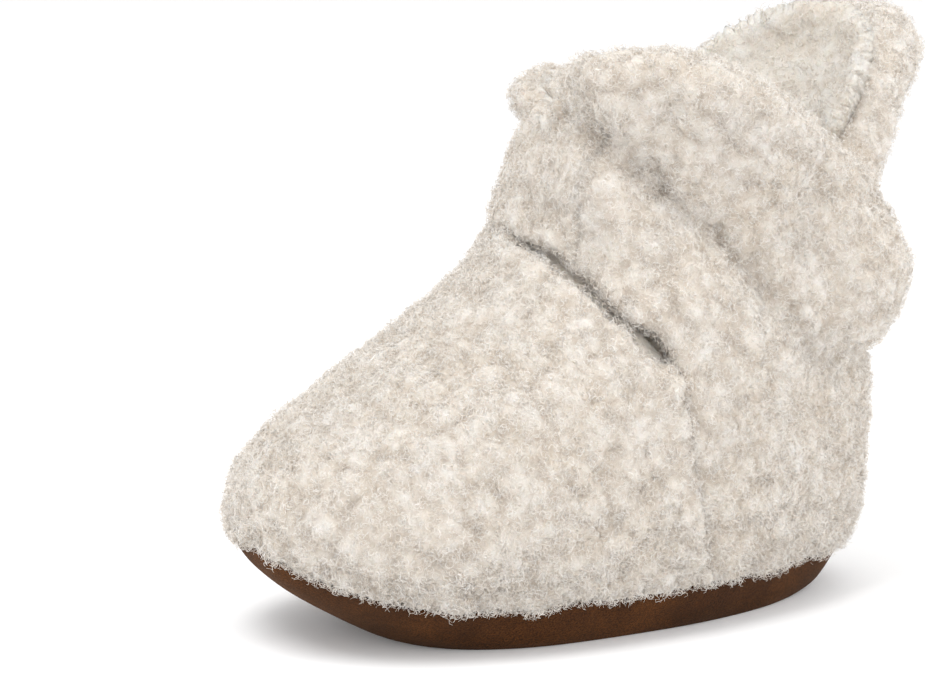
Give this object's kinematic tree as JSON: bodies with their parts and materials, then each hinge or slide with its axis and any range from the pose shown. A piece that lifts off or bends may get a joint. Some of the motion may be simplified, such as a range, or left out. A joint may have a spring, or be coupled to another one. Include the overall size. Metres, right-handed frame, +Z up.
{
  "type": "baby bootie",
  "caption": "Soft baby bootie for the right foot: suede sole, curly sherpa upper with a ruffled cuff, fleece lining, elastic ankle and a wrap flap closed by snaps.",
  "frame": {"origin": "on the floor under the middle of the sole", "axes": "+Z up, the toe points to -Y and the heel to +Y, +X is the inner side of the foot"},
  "size_m": [0.0695, 0.1393, 0.1086],
  "materials": {
    "sherpa": "curly cream wool-like pile, about 4 mm deep",
    "fleece": "short brushed cream fleece",
    "suede": "napped brown suede, matt",
    "foam": "soft off-white open-cell foam",
    "elastic": "flat woven white elastic",
    "snap_metal": "satin nickel-plated pressed metal"
  },
  "bodies": {
    "root": {"outsole": "suede", "sole_foam": "foam", "insole": "fleece", "vamp_outer": "sherpa", "vamp_lining": "fleece", "tongue": "fleece", "quarter_outer": "sherpa", "quarter_lining": "fleece", "ankle_elastic": "elastic", "snap_studs": "snap_metal", "snap_backs": "snap_metal"},
    "flap_base": {"flap_base_outer": "sherpa", "flap_base_lining": "fleece"},
    "flap_tip": {"flap_tip_outer": "sherpa", "flap_tip_lining": "fleece", "snap_caps": "snap_metal", "snap_sockets": "snap_metal"}
  },
  "joints": [
    {"name": "flap_swing", "type": "hinge", "parent": "root", "child": "flap_base", "pos_m": [0.0305, 0.005, 0.077], "axis": [0, 0, 1], "range_deg": [0, 100]},
    {"name": "flap_peel", "type": "hinge", "parent": "flap_base", "child": "flap_tip", "pos_m": [0, -0.0115, 0.083], "axis": [0, 0, 1], "range_deg": [0, 100]}
  ]
}
